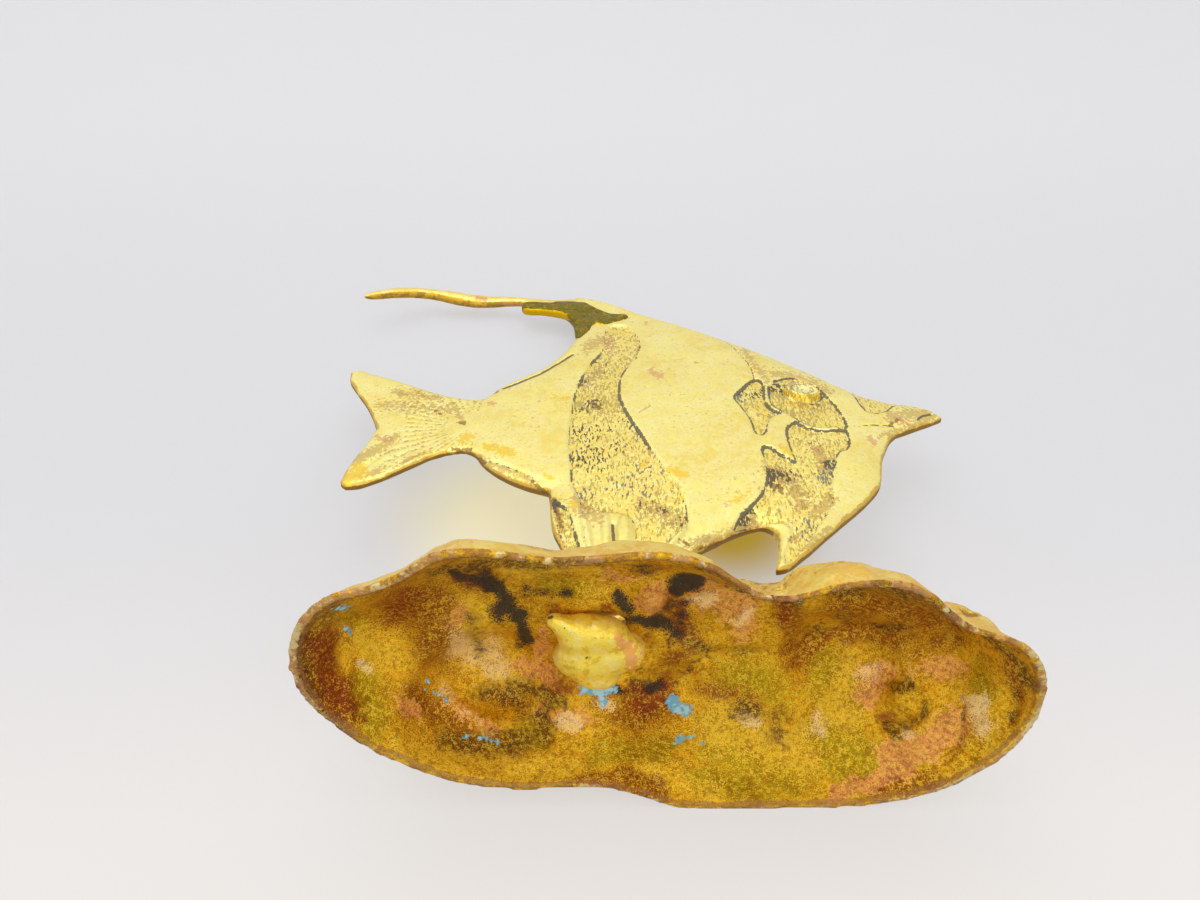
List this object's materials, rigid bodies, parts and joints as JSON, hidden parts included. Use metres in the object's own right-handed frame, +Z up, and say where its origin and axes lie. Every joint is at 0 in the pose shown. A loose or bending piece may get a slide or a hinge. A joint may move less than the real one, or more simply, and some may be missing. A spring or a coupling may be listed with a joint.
{
  "type": "fish figurine",
  "caption": "Cast brass reef fish with a trailing dorsal streamer, standing on a hollow rock-shaped base: a free-standing shelf ornament.",
  "frame": {"origin": "on the table, under the middle of the whole ornament's box", "axes": "+Z up from the table, +X towards the fish's nose, +Y square to the fish's flat side"},
  "size_m": [0.1948, 0.0802, 0.2081],
  "materials": {
    "rock_base": "sand-cast, oxidised, with verdigris",
    "fish_casting": "satin, hand-polished",
    "dorsal_streamer": "satin",
    "base_braze": "rough braze",
    "streamer_braze": "matt olive braze"
  },
  "bodies": {
    "root": {"rock_base": "rock_base", "fish_casting": "fish_casting", "dorsal_streamer": "dorsal_streamer", "base_braze": "base_braze", "streamer_braze": "streamer_braze"}
  },
  "joints": []
}
